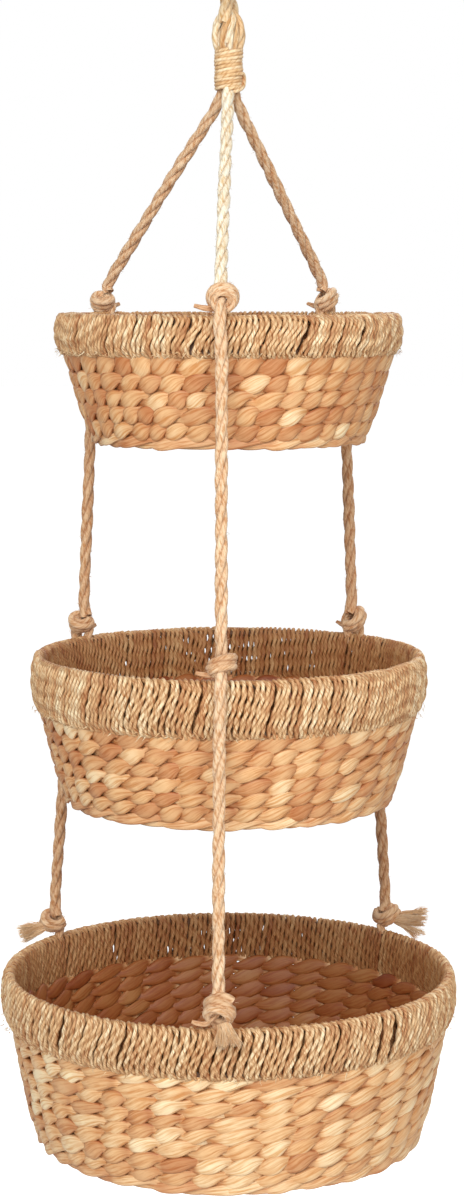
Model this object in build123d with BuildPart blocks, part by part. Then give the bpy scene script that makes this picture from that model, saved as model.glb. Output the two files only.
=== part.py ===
from build123d import *
from itertools import pairwise
from math import acos, atan2, cos, pi, radians, sin, sqrt
from typing import NamedTuple
import os

os.makedirs("parts", exist_ok=True)

# A three-tier hanging fruit basket. Millimetres, +Z up, the front faces -Y.
# The origin is the inside top of the hanging loop, where a hook bears.

# Rope, twine and wire
rope_diameter = 9.5
rope_sides = 8
twine_width = 2.2
wire_width = 3.0
running_gap = 0.3
seat_gap = 0.3
dome_angles = (20.0, 55.0, 90.0)
quarter_turn = 90.0
half_turn = 180.0

# Hanging loop and gather
eye_radius = 12.0
eye_facets = 10
loop_leg_spacing = 10.4
loop_height = 35.0
loop_angle = 175.0
crown_height = 21.0
crown_width = 25.4
gather_length = 33.4
gather_width = 16.0
pivot_radius = 12.0
pivot_rise = 4.0
fan_angles = (12.0, 35.0, 58.0, 67.0)

# Rim band, woven wall and base, alike on all three baskets
wall_sides = 30
frame_wire_count = 10
cord_thickness = 3.5
band_thickness = 12.0
wall_thickness = 9.0
wall_inset = 5.5
base_ring_width = 4.5
base_ring_height = 7.0
base_rise = 1.5

# Knots and frayed ends
knot_width = 25.0
knot_height = 20.0
knot_front_tilt = 30.0
knot_back_tilt = 40.0
knot_overhang = 3.0
tail_reach = 18.0
tail_sides = (-1, -1, 1)
tassel_length = 24.0
tassel_width = 22.0
tassel_droops = (35.0, 65.0, 15.0)

# Heights of the three rims below the origin
eye_to_top_rim = 252.0
top_to_middle_rim = 255.6
middle_to_bottom_rim = 244.5

# Outlines as shares. Band outlines give an inset as a share of the band's
# thickness, then a depth as a share of its height. The wall outline gives
# a depth as a share of the wall's height, then how much of the taper is done.
band_outer_shares = ((0.34, 1.0), (0.02, 0.84), (0.0, 0.4), (0.16, 0.1), (0.5, 0.0))
band_inner_shares = ((0.78, 1.0), (1.0, 0.84), (0.9, 0.1), (0.5, 0.0))
wall_shares = ((0.0, 0.0), (0.5, 0.42), (0.85, 0.72), (1.0, 1.0))
# A crown point is a depth share of the crown, then a share of its half width.
crown_shares = ((1.0, 0.74), (0.72, 0.96), (0.45, 1.0), (0.16, 0.72), (0.0, 0.5))
# A tassel section is a share of its length, then a share of its half width.
tassel_shares = ((0.0, 0.42), (0.35, 0.72), (0.8, 1.0), (1.0, 0.8))


class Tier(NamedTuple):
    name: str
    rim: float
    radius: float
    band_height: float
    height: float
    base_radius: float
    knot_angles: tuple
    wire_facet: int


# Angles run from the front, negative to the left. The wire facet turns the
# frame's wires clear of the knots.
top = Tier(
    name="top",
    rim=-eye_to_top_rim,
    radius=130.3,
    band_height=31.5,
    height=96.0,
    base_radius=104.0,
    knot_angles=(-131.5, -2.5, 144.0),
    wire_facet=0,
)
middle = Tier(
    name="middle",
    rim=top.rim - top_to_middle_rim,
    radius=150.3,
    band_height=44.0,
    height=112.0,
    base_radius=126.0,
    knot_angles=(-128.5, -2.0, 138.0),
    wire_facet=0,
)
bottom = Tier(
    name="bottom",
    rim=middle.rim - middle_to_bottom_rim,
    radius=175.0,
    band_height=40.0,
    height=130.0,
    base_radius=150.0,
    knot_angles=(-125.0, -2.4, 132.0),
    wire_facet=2,
)
tiers = (top, middle, bottom)
sides_of_rope = ("left", "front", "right")

rope_radius = rope_diameter / 2
crown_top = -loop_height - running_gap
gather_top = crown_top - crown_height
gather_bottom = gather_top - gather_length
swing_pivot = gather_bottom + pivot_rise
half_knot = knot_height / 2


def around(angle, radius, height):
    """A point at an angle from the front, a radius and a height."""
    turn = radians(angle)
    return Vector(radius * sin(turn), -radius * cos(turn), height)


def flat(radius):
    """The distance from the axis to the middle of a woven ring's facet."""
    return radius * cos(pi / wall_sides)


def stack(outline, sides, across=Plane.XY):
    """A solid through even polygons, given as (radius, height) pairs over a plane."""
    turns = [2 * pi * side / sides for side in range(sides)]
    with BuildPart() as stacked:
        for lower, upper in pairwise(outline):
            corners = [
                Vector(radius * cos(turn), radius * sin(turn), height)
                for radius, height in (lower, upper)
                for turn in turns
            ]
            ConvexPolyhedron([across.from_local_coords(corner) for corner in corners])
    return stacked.part


def ring(outer_radius, inner_radius, low, high, mode=Mode.ADD):
    """A level ring with a square section."""
    with BuildSketch(Plane.XY.offset(low)) as section:
        RegularPolygon(outer_radius, wall_sides)
        RegularPolygon(inner_radius, wall_sides, mode=Mode.SUBTRACT)
    extrude(section.sketch, amount=high - low, mode=mode)


def rod(start, end, mode=Mode.ADD):
    """A straight length of rope from one point to another."""
    run = end - start
    with BuildSketch(Plane(origin=start, z_dir=run)) as section:
        RegularPolygon(rope_radius, rope_sides)
    extrude(section.sketch, amount=run.length, mode=mode)


def wall_line(tier, inset):
    """The woven wall's side, from its foot up, as (radius, height) pairs."""
    high = tier.rim - tier.band_height
    low = tier.rim - tier.height + base_ring_height
    upper = tier.radius - wall_inset - inset
    lower = tier.base_radius - inset
    return [
        (upper + (lower - upper) * taper, high + (low - high) * depth)
        for depth, taper in reversed(wall_shares)
    ]


def band_line(tier, shares):
    """One side of the rim band, from its lower edge to its crest."""
    return [
        (tier.radius - band_thickness * inset, tier.rim - tier.band_height * depth)
        for inset, depth in shares
    ]


def hoop_radius(tier):
    """The outer radius of the two rim hoops."""
    return tier.radius - band_thickness + cord_thickness + wire_width


def cross_height(tier):
    """The height at which a rope passes through the band, under its top hoop."""
    return tier.rim - cord_thickness - wire_width - running_gap - rope_radius


def outside(tier):
    """The radius of a rope that lies on the outside of the band."""
    return tier.radius + rope_radius + seat_gap


def inside(tier):
    """The radius of a rope that lies on the inside of the band."""
    return flat(tier.radius - band_thickness) - rope_radius - seat_gap


def knot_centre(tier, angle):
    """The middle of a knot, which sits on the band's crest."""
    radius = tier.radius - band_thickness / 2 + knot_overhang
    return around(angle, radius, tier.rim + half_knot + seat_gap)


def frame_wire_points(tier):
    """A frame wire's path, from the lower hoop down the wall to the base hoop."""
    lower_hoop = hoop_radius(tier) - wire_width / 2
    hoop_bottom = tier.rim - tier.band_height + cord_thickness
    bend_radius, bend_height = wall_line(tier, wall_thickness / 2)[1]
    base_hoop = tier.base_radius - base_ring_width - wire_width / 2
    base_hoop_height = tier.rim - tier.height + base_ring_height
    return [(lower_hoop, hoop_bottom), (bend_radius, bend_height), (base_hoop, base_hoop_height)]


def make_frame_wire(tier):
    path = frame_wire_points(tier)
    half = wire_width / 2
    outline = [(flat(radius) + half, height) for radius, height in path]
    outline += [(flat(radius) - half, height) for radius, height in reversed(path)]
    with BuildPart() as frame_wire:
        with BuildSketch(Plane.XZ):
            with BuildLine():
                Polyline(*outline, close=True)
            make_face()
        extrude(amount=half, both=True)
        # A short post stands between the two rim hoops.
        low = tier.rim - tier.band_height + cord_thickness + wire_width
        high = tier.rim - cord_thickness - wire_width
        post = Plane(origin=(flat(hoop_radius(tier) - half), 0, low))
        with BuildSketch(post):
            Rectangle(wire_width * cos(pi / wall_sides), wire_width)
        extrude(amount=high - low)
    return frame_wire.part


def make_wire_frame(tier):
    wire = make_frame_wire(tier)
    outer = hoop_radius(tier)
    inner = outer - wire_width
    upper = tier.rim - cord_thickness
    lower = tier.rim - tier.band_height + cord_thickness
    base_outer = tier.base_radius - base_ring_width
    base_top = tier.rim - tier.height + base_ring_height
    with BuildPart() as wire_frame:
        ring(outer, inner, upper - wire_width, upper)
        ring(outer, inner, lower, lower + wire_width)
        ring(base_outer, base_outer - wire_width, base_top - wire_width, base_top)
        first_wire = half_turn / wall_sides * (1 + 2 * tier.wire_facet)
        with PolarLocations(0, frame_wire_count, start_angle=first_wire):
            add(wire)
    return wire_frame.part


def make_rim_band(tier, wire_frame):
    hollow_low = tier.rim - tier.band_height + cord_thickness
    hollow_high = tier.rim - cord_thickness
    with BuildPart() as rim_band:
        add(stack(band_line(tier, band_outer_shares), wall_sides))
        add(stack(band_line(tier, band_inner_shares), wall_sides), mode=Mode.SUBTRACT)
        ring(
            tier.radius - cord_thickness,
            hoop_radius(tier) - wire_width,
            hollow_low,
            hollow_high,
            mode=Mode.SUBTRACT,
        )
        add(wire_frame, mode=Mode.SUBTRACT)
        for angle in tier.knot_angles:
            height = cross_height(tier)
            start = around(angle, inside(tier), height)
            rod(start, around(angle, outside(tier), height), mode=Mode.SUBTRACT)
    return rim_band.part


def make_body_weave(tier, wire_frame):
    with BuildPart() as body_weave:
        add(stack(wall_line(tier, 0), wall_sides))
        add(stack(wall_line(tier, wall_thickness), wall_sides), mode=Mode.SUBTRACT)
        add(wire_frame, mode=Mode.SUBTRACT)
    return body_weave.part


def make_base_binding(tier):
    low = tier.rim - tier.height
    inner = tier.base_radius - base_ring_width
    with BuildPart() as base_binding:
        ring(tier.base_radius, inner, low, low + base_ring_height)
    return base_binding.part


def make_base_weave(tier):
    low = tier.rim - tier.height
    with BuildPart() as base_weave:
        with BuildSketch(Plane.XY.offset(low + base_rise)):
            RegularPolygon(tier.base_radius - base_ring_width - wire_width, wall_sides)
        extrude(amount=base_ring_height - base_rise)
    return base_weave.part


for tier in tiers:
    wire_frame = make_wire_frame(tier)
    pieces = {
        "wire_frame": wire_frame,
        "rim_band": make_rim_band(tier, wire_frame),
        "body_weave": make_body_weave(tier, wire_frame),
        "base_binding": make_base_binding(tier),
        "base_weave": make_base_weave(tier),
    }
    for piece_name, piece in pieces.items():
        piece.label = f"{tier.name}_{piece_name}"
        export_step(piece, f"parts/{tier.name}_{piece_name}.step")


def make_turn(centre, angle, tilt):
    """One thick turn of a knot: a disc of rope, tilted as seen from outside."""
    half = rope_radius
    rim = knot_width / 2
    edge = ((rim - half, -half), (rim, -half / 2), (rim, half / 2), (rim - half, half))
    outward = around(angle, 1, 0)
    along = around(angle + quarter_turn, 1, 0)
    normal = Vector(0, 0, cos(radians(tilt))) + along * sin(radians(tilt))
    add(stack(edge, rope_sides, Plane(origin=centre, x_dir=outward, z_dir=normal)))


def knot_and_loop(tier, angle, tail_side):
    """An overhand knot on the crest, with its loop round the top hoop and a tail."""
    centre = knot_centre(tier, angle)
    height = cross_height(tier)
    make_turn(centre, angle, knot_front_tilt)
    make_turn(centre, angle, -knot_back_tilt)
    outer_top = around(angle, outside(tier), centre.Z)
    inner_top = around(angle, inside(tier), centre.Z)
    rod(around(angle, outside(tier), height - rope_radius), outer_top)
    rod(around(angle, inside(tier), height - rope_radius), inner_top)
    rod(around(angle, inside(tier), height), around(angle, outside(tier), height))
    along = around(angle + quarter_turn, tail_reach * tail_side, 0)
    rod(centre, centre + along - Vector(0, 0, rope_radius))


def fall(tier, angle, foot_angle):
    """The stretch of rope on the outside of the band, below the knot's loop."""
    start = around(angle, outside(tier), cross_height(tier))
    low = tier.rim - tier.band_height
    bend = around(foot_angle, outside(tier), low + rope_radius)
    rod(start, bend)
    rod(bend, around(foot_angle, outside(tier), low))


def foot(tier, angle):
    """Where a rope bends below the band, the upper end of a hanging stretch."""
    drop = tier.band_height + running_gap + rope_radius
    return around(angle, outside(tier), tier.rim - drop)


def landing(tier, angle):
    """Where a rope bends above a knot, the lower end of a hanging stretch."""
    rise = (rope_diameter + running_gap) / cos(radians(knot_back_tilt))
    return knot_centre(tier, angle) + Vector(0, 0, rise)


def make_hanging_rope(start, end):
    """A taut stretch of rope with round ends, free to turn at both."""
    run = end - start
    ends = [(rope_radius * sin(radians(a)), rope_radius * cos(radians(a))) for a in dome_angles]
    levels = [(radius, -height) for radius, height in ends]
    levels += [(radius, run.length + height) for radius, height in reversed(ends)]
    return stack(levels, rope_sides, Plane(origin=start, z_dir=run))


def make_tassel(tier, angle, droop, knot):
    """The frayed end of a rope, fanning out of its knot."""
    outward = around(angle, cos(radians(droop)), -sin(radians(droop)))
    start = knot_centre(tier, angle) + around(angle, knot_width / 2 - rope_radius, 0)
    levels = [
        (tassel_width / 2 * width, tassel_length * distance) for distance, width in tassel_shares
    ]
    with BuildPart() as tassel:
        add(stack(levels, rope_sides, Plane(origin=start, z_dir=outward)))
        add(knot, mode=Mode.SUBTRACT)
    return tassel.part.solids().sort_by(SortBy.VOLUME)[-1]


for index, side in enumerate(sides_of_rope):
    tail_side = tail_sides[index]
    swing_point = Vector(0, 0, swing_pivot)
    knot_middle = knot_centre(top, top.knot_angles[index])
    upper_start = swing_point + (knot_middle - swing_point).normalized() * (
        pivot_radius + running_gap
    )
    with BuildPart() as upper_rope:
        rod(upper_start, knot_middle)
        knot_and_loop(top, top.knot_angles[index], tail_side)
        fall(top, top.knot_angles[index], middle.knot_angles[index])
    upper_rope.part.label = f"{side}_upper_rope"
    export_step(upper_rope.part, f"parts/{side}_upper_rope.step")

    with BuildPart() as middle_knot:
        knot_and_loop(middle, middle.knot_angles[index], tail_side)
        fall(middle, middle.knot_angles[index], bottom.knot_angles[index])
    middle_knot.part.label = f"{side}_middle_knot"
    export_step(middle_knot.part, f"parts/{side}_middle_knot.step")

    with BuildPart() as bottom_knot:
        knot_and_loop(bottom, bottom.knot_angles[index], tail_side)
    bottom_knot.part.label = f"{side}_bottom_knot"
    export_step(bottom_knot.part, f"parts/{side}_bottom_knot.step")

    tassel = make_tassel(
        bottom, bottom.knot_angles[index], tassel_droops[index], bottom_knot.part
    )
    tassel.label = f"{side}_tassel"
    export_step(tassel, f"parts/{side}_tassel.step")

    for above, below in ((top, middle), (middle, bottom)):
        rope_angle = below.knot_angles[index]
        hanging_rope = make_hanging_rope(foot(above, rope_angle), landing(below, rope_angle))
        hanging_rope.label = f"{side}_{below.name}_rope"
        export_step(hanging_rope, f"parts/{side}_{below.name}_rope.step")


# Hanging loop: two straight legs, tangent to the round eye
eye_centre_line = eye_radius + rope_radius
leg_offset = loop_leg_spacing / 2
leg_end = loop_height + rope_radius
eye_drop = leg_end - eye_radius
leg_reach = sqrt(leg_offset**2 + eye_drop**2)
touch_angle = acos(eye_centre_line / leg_reach) - atan2(eye_drop, leg_offset)
eye_turn = (pi - 2 * touch_angle) / eye_facets
eye_turns = [pi - touch_angle - eye_turn * facet for facet in range(eye_facets + 1)]
eye_points = [
    (eye_centre_line * cos(turn), eye_centre_line * sin(turn) - eye_radius) for turn in eye_turns
]
loop_side = Plane(
    origin=(0, 0, 0),
    x_dir=around(loop_angle, 1, 0),
    z_dir=around(loop_angle - quarter_turn, 1, 0),
)
with BuildPart() as hanging_loop:
    with BuildLine(loop_side) as loop_line:
        Polyline(
            (-leg_offset, -leg_end),
            *eye_points,
            (leg_offset, -leg_end),
        )
    with BuildSketch(Plane(origin=loop_line.line @ 0, z_dir=loop_line.line % 0)):
        RegularPolygon(rope_radius, rope_sides)
    sweep(transition=Transition.RIGHT)
    # The legs are cut level where they enter the crown.
    split(bisect_by=Plane.XY.offset(-loop_height))
hanging_loop.part.label = "hanging_loop"
export_step(hanging_loop.part, "parts/hanging_loop.step")

# Crown: the ropes' upper ends, folded over into one bulge
loop_crown = stack(
    [
        (crown_width / 2 * width, crown_top - crown_height * depth)
        for depth, width in crown_shares
    ],
    rope_sides,
)
loop_crown.label = "loop_crown"
export_step(loop_crown, "parts/loop_crown.step")

# Gather: the three ropes bound side by side, fanning out under the whipping
gather_outline = [
    (pivot_radius * sin(radians(a)), swing_pivot - pivot_radius * cos(radians(a)))
    for a in fan_angles
]
gather_outline += [(gather_width / 2, gather_bottom), (gather_width / 2, gather_top)]
rope_gather = stack(gather_outline, rope_sides)
rope_gather.label = "rope_gather"
export_step(rope_gather, "parts/rope_gather.step")

# Whipping: a sleeve of tight twine, rounded off at both ends
sleeve_inner = gather_width / 2 + seat_gap
sleeve_outer = sleeve_inner + twine_width
sleeve_edge = twine_width / 2
with BuildPart() as whipping:
    add(
        stack(
            [
                (sleeve_outer - sleeve_edge, gather_bottom),
                (sleeve_outer, gather_bottom + sleeve_edge),
                (sleeve_outer, gather_top - sleeve_edge),
                (sleeve_outer - sleeve_edge, gather_top),
            ],
            rope_sides,
        )
    )
    add(
        stack([(sleeve_inner, gather_bottom), (sleeve_inner, gather_top)], rope_sides),
        mode=Mode.SUBTRACT,
    )
whipping.part.label = "whipping"
export_step(whipping.part, "parts/whipping.step")
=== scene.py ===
import math

import bpy
import numpy as np
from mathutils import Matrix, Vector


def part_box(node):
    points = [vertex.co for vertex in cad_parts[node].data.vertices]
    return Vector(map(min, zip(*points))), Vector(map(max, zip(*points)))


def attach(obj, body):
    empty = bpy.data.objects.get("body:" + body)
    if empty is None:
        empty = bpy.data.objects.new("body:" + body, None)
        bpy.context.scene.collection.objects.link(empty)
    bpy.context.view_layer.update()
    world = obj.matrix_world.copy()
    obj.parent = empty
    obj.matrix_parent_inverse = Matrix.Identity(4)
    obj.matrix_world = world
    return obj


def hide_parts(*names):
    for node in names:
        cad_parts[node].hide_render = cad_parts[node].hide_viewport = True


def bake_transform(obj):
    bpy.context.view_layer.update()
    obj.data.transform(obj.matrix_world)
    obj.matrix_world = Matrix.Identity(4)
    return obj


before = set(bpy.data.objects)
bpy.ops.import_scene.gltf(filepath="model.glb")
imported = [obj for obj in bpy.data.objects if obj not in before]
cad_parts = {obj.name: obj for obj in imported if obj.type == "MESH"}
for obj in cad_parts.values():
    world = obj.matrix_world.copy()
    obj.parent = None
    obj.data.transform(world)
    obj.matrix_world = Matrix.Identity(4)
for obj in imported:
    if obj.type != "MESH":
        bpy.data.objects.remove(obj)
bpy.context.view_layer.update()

# A three-tier hanging fruit basket: seagrass-wound rims, twined water hyacinth
# walls and three knotted jute ropes. Metres; the front faces -Y; angles are in
# degrees from the front, negative to the left.
MM = 0.001
UP = np.array([0, 0, 1.0])
WHITE = (1, 1, 1, 1)
random = np.random.default_rng(11)

# Sizes that the dressing shares with the solids. A strand goes once round its rope
# in the lay's length; the seat gap parts a rope from what it lies on.
rope_diameter = 9.5 * MM
rope_lay = 54 * MM
seat_gap = 0.3 * MM
band_thickness = 12 * MM
wall_thickness = 9 * MM
knot_overhang = 3 * MM
half_knot = 10 * MM
knot_tilt = 40
sides_of_rope = ("left", "front", "right")
knot_angles = {
    "top": (-131.5, -2.5, 144.0),
    "middle": (-128.5, -2.0, 138.0),
    "bottom": (-125.0, -2.4, 132.0),
}


# -------- geometry


def around(angle, radius, height):
    """Points at angles from the front, given in degrees."""
    turn = np.radians(angle)
    return np.stack([radius * np.sin(turn), -radius * np.cos(turn), height + 0 * turn], axis=-1)


def radial(angle):
    """The level direction straight out from the middle."""
    return around(angle, 1.0, 0.0)


def unit(vectors):
    return vectors / np.linalg.norm(vectors, axis=-1, keepdims=True)


def squared(wave, power):
    """A wave made squarer by a power below one, its sign kept."""
    return np.sign(wave) * np.abs(wave) ** power


def drift(count, waves, amount):
    """A slow random change that closes on itself, for hand-made unevenness: the
    mean of sines that go round so many times each."""
    steps = np.linspace(0, 2 * np.pi, count, endpoint=False)
    total = np.zeros(count)
    for wave in waves:
        total += np.sin(wave * steps + random.uniform(0, 2 * np.pi)) / len(waves)
    return amount * total


class Strands:
    """The tubes of one woven, wound or laid piece, gathered into one mesh."""

    def __init__(self):
        self.corners, self.quads, self.uvs = [], [], []
        self.tints, self.shades = [], []
        self.count = 0

    def add(self, path, outward, section, tint, shade=0.0, closed=False):
        """A tube along a path. The section gives each ring's corners as pairs,
        measured along the outward direction and across it. Tint and shade are one
        value, one for each ring, or one for each corner."""
        rings, sides = section.shape[:2]
        if closed:
            along = unit(np.roll(path, -1, axis=0) - np.roll(path, 1, axis=0))
        else:
            along = unit(np.gradient(path, axis=0))
        facing = unit(outward - along * np.sum(outward * along, axis=-1, keepdims=True))
        across = np.cross(along, facing)
        corners = (
            path[:, None]
            + facing[:, None] * section[..., :1]
            + across[:, None] * section[..., 1:]
        )
        # The grain is laid out in metres along the strand, from a start of its own.
        steps = np.linalg.norm(np.diff(path, axis=0, append=path[:1]), axis=-1)
        length = random.uniform(0, 5) + np.concatenate([[0], np.cumsum(steps)])
        last = rings if closed else rings - 1
        ring, side = np.meshgrid(np.arange(last), np.arange(sides), indexing="ij")
        next_ring, next_side = (ring + 1) % rings, (side + 1) % sides
        quads = np.stack(
            [ring * sides + side, ring * sides + next_side,
             next_ring * sides + next_side, next_ring * sides + side], axis=-1)
        low, high = length[ring], length[ring + 1]
        left, right = side / sides, (side + 1) / sides
        uvs = np.stack([left, low, right, low, right, high, left, high], axis=-1)
        self.corners.append(corners.reshape(-1, 3))
        self.quads.append(quads.reshape(-1, 4) + self.count)
        self.uvs.append(uvs.reshape(-1, 8))
        for store, value in ((self.tints, tint), (self.shades, shade)):
            value = np.asarray(value, float)
            if value.ndim == 1:
                value = value[:, None]
            store.append(np.broadcast_to(value, (rings, sides)).ravel())
        self.count += rings * sides

    def build(self, name, material, body=None):
        """The piece's object, riding a body if one is given."""
        mesh = bpy.data.meshes.new(name)
        corners = np.concatenate(self.corners)
        quads = np.concatenate(self.quads)
        mesh.vertices.add(len(corners))
        mesh.vertices.foreach_set("co", corners.ravel())
        mesh.loops.add(quads.size)
        mesh.loops.foreach_set("vertex_index", quads.ravel())
        mesh.polygons.add(len(quads))
        mesh.polygons.foreach_set("loop_start", np.arange(0, quads.size, 4))
        mesh.update(calc_edges=True)
        mesh.polygons.foreach_set("use_smooth", np.ones(len(quads), bool))
        layer = mesh.uv_layers.new(name="strand")
        layer.data.foreach_set("uv", np.concatenate(self.uvs).ravel())
        for label, values in (("tint", self.tints), ("shade", self.shades)):
            attribute = mesh.attributes.new(label, "FLOAT", "POINT")
            attribute.data.foreach_set("value", np.concatenate(values))
        mesh.materials.append(material)
        piece = bpy.data.objects.new(name, mesh)
        bpy.context.scene.collection.objects.link(piece)
        if body:
            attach(piece, body)
        return piece


def round_turns(sides):
    """The angles of a section's corners; the first is at the back, where a seam hides."""
    return np.pi + np.linspace(0, 2 * np.pi, sides, endpoint=False)


def oval(half_out, half_across, sides):
    """The corners of an oval section for each ring."""
    turns = round_turns(sides)
    return np.stack(
        [half_out[:, None] * np.cos(turns), half_across[:, None] * np.sin(turns)], axis=-1)


# A two-ply cord's section: its half-width at the waist, what a ply adds to that, how
# pointed a ply is, and the number of corners.
ply_waist, ply_bulge, ply_power, ply_corners = 0.54, 0.5, 1.3, 10


def two_ply(width, twist):
    """The waisted section of a two-ply cord, turned by the twist at each ring; how
    deep in the groove between the plies each corner is; and which ply it is on."""
    turns = round_turns(ply_corners)
    wave = np.cos(turns - twist[:, None])
    radius = width[:, None] / 2 * (ply_waist + ply_bulge * np.abs(wave) ** ply_power)
    section = np.stack([radius * np.cos(turns), radius * np.sin(turns)], axis=-1)
    return section, 1 - np.abs(wave), np.sign(wave)


def spaced(line, step):
    """The line's own points, left out where they are closer than a step."""
    kept = [line[0]]
    for point in line[1:]:
        if np.linalg.norm(point - kept[-1]) >= step:
            kept.append(point)
    return np.array(kept)


def lengths_along(path):
    return np.concatenate([[0], np.cumsum(np.linalg.norm(np.diff(path, axis=0), axis=-1))])


def evenly(path, step):
    """The same line with its points an even step apart."""
    lengths = lengths_along(path)
    count = max(2, int(round(lengths[-1] / step)) + 1)
    places = np.linspace(0, lengths[-1], count)
    return np.stack([np.interp(places, lengths, path[:, axis]) for axis in range(3)], axis=-1)


def carried(path):
    """The line's direction at each point, and one square to it that is carried along
    without turning about the line."""
    along = unit(np.gradient(path, axis=0))
    # The first is square to a direction that no rope starts along.
    start = np.cross(along[0], [0.3, 0.5, 0.81])
    facing = [start / np.linalg.norm(start)]
    for direction in along[1:]:
        held = facing[-1] - direction * facing[-1].dot(direction)
        facing.append(held / np.linalg.norm(held))
    return along, np.array(facing)


def smooth_route(points):
    """The points of the smooth line that these control points steer."""
    curve = bpy.data.curves.new("route", "CURVE")
    curve.dimensions = "3D"
    curve.resolution_u = 48
    spline = curve.splines.new("NURBS")
    spline.points.add(len(points) - 1)
    for place, point in zip(spline.points, points):
        place.co = (*point, 1)
    spline.order_u = 3
    spline.use_endpoint_u = True
    holder = bpy.data.objects.new("route", curve)
    mesh = bpy.data.meshes.new_from_object(holder)
    line = np.array([tuple(vertex.co) for vertex in mesh.vertices])
    bpy.data.meshes.remove(mesh)
    bpy.data.objects.remove(holder)
    bpy.data.curves.remove(curve)
    return line


# A laid rope in shares of its diameter: how far a strand's middle lies from the
# rope's, half a strand's thickness, how near the rope's middle the groove's shade
# starts, and how much nearer it is full. The last is how dark it is then.
strand_offset, strand_half = 0.22, 0.278
groove_start, groove_depth, groove_shade = 0.43, 0.12, 0.65


def laid_rope(strands, line, diameter=rope_diameter, lay=rope_lay, tint=0.5, taper=(1, 1)):
    """Three strands laid round each other along a line, a little uneven in thickness
    and tint. The taper is the thickness at the two ends."""
    path = spaced(line, 1.6 * MM)
    along, facing = carried(path)
    beside = np.cross(along, facing)
    length = lengths_along(path)
    size = diameter * np.interp(length, [0, length[-1]], taper)[:, None]
    size = size * (1 + 0.035 * np.sin(length / (13 * MM) + random.uniform(0, 6)))[:, None]
    for ply in range(3):
        turn = 2 * np.pi * (ply / 3 + length / lay)[:, None]
        outward = facing * np.cos(turn) + beside * np.sin(turn)
        plump = strand_half * size[:, 0] * (1 + 0.04 * np.sin(length / (6 * MM) + 2 * ply))
        section = oval(plump, plump * 1.04, 12)
        depth = np.linalg.norm(section + [strand_offset * diameter, 0], axis=-1) / size
        groove = groove_shade * np.clip((groove_start - depth) / groove_depth, 0, 1)
        mottle = tint + 0.06 * (ply - 1) + 0.07 * np.sin(length / (9 * MM) + 2 * ply)
        strands.add(path + strand_offset * size * outward, outward, section, mottle, groove)


def hairs(strands, line, count, reach):
    """Loose fibres that stand off a rope, thin out, and bend each its own way."""
    path = spaced(line, 1.5 * MM)
    along, facing = carried(path)
    steps = np.linspace(0, 1, 5)[:, None]
    half = np.linspace(0.17, 0.06, 5) * MM
    for _ in range(count):
        at = random.integers(0, len(path))
        turn = random.uniform(0, 2 * np.pi)
        away = facing[at] * np.cos(turn) + np.cross(along[at], facing[at]) * np.sin(turn)
        root = path[at] + away * rope_diameter * 0.40
        length = reach * random.uniform(0.4, 1.0)
        drag = along[at] * random.uniform(-1, 1) + random.normal(0, 0.3, 3)
        heading = unit(away * (1 - 0.4 * steps) + drag * (0.4 + 0.6 * steps))
        tint = 0.7 + random.uniform(-0.2, 0.2)
        strands.add(
            root + length * steps * heading, np.cross(away, along[at] + 0.01),
            oval(half, half, 3), tint)


# -------- materials

FLOAT, COLOUR = "NodeSocketFloat", "NodeSocketColor"


def tone(red, green, blue):
    """A colour as it looks on a screen, from 0 to 255, for a shader."""
    shares = np.array([red, green, blue]) / 255
    linear = np.where(shares <= 0.04045, shares / 12.92, ((shares + 0.055) / 1.055) ** 2.4)
    return (*linear, 1)


def new_group(name, inputs, outputs):
    """A shader node group with named sockets: the group, its inputs, its output node."""
    group = bpy.data.node_groups.new(name, "ShaderNodeTree")
    for label, kind in inputs:
        group.interface.new_socket(label, in_out="INPUT", socket_type=kind)
    for label, kind in outputs:
        group.interface.new_socket(label, in_out="OUTPUT", socket_type=kind)
    return group, group.nodes.new("NodeGroupInput"), group.nodes.new("NodeGroupOutput")


def set_sockets(tree, sockets, values):
    """Each socket takes another's output, or a constant of its own."""
    for socket, value in zip(sockets, values):
        if isinstance(value, bpy.types.NodeSocket):
            tree.links.new(value, socket)
        else:
            socket.default_value = value


def math_node(tree, operation, first, second):
    node = tree.nodes.new("ShaderNodeMath")
    node.operation = operation
    set_sockets(tree, node.inputs, (first, second))
    return node.outputs[0]


def mix_colours(tree, factor, first, second, blend="MIX"):
    node = tree.nodes.new("ShaderNodeMix")
    node.data_type = "RGBA"
    node.blend_type = blend
    set_sockets(tree, (node.inputs[0], node.inputs[6], node.inputs[7]), (factor, first, second))
    return node.outputs[2]


def noise_at(tree, place, scale, detail, roughness=0.5):
    """The height of a noise at a place, from 0 to 1."""
    noise = tree.nodes.new("ShaderNodeTexNoise")
    noise.inputs["Scale"].default_value = scale
    noise.inputs["Detail"].default_value = detail
    noise.inputs["Roughness"].default_value = roughness
    tree.links.new(place, noise.inputs["Vector"])
    return noise.outputs["Fac"]


def ramp(tree, value, low, high):
    """A value spread out so that it goes from 0 at low to 1 at high."""
    spread = tree.nodes.new("ShaderNodeMapRange")
    spread.inputs["From Min"].default_value = low
    spread.inputs["From Max"].default_value = high
    tree.links.new(value, spread.inputs["Value"])
    return spread.outputs[0]


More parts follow.
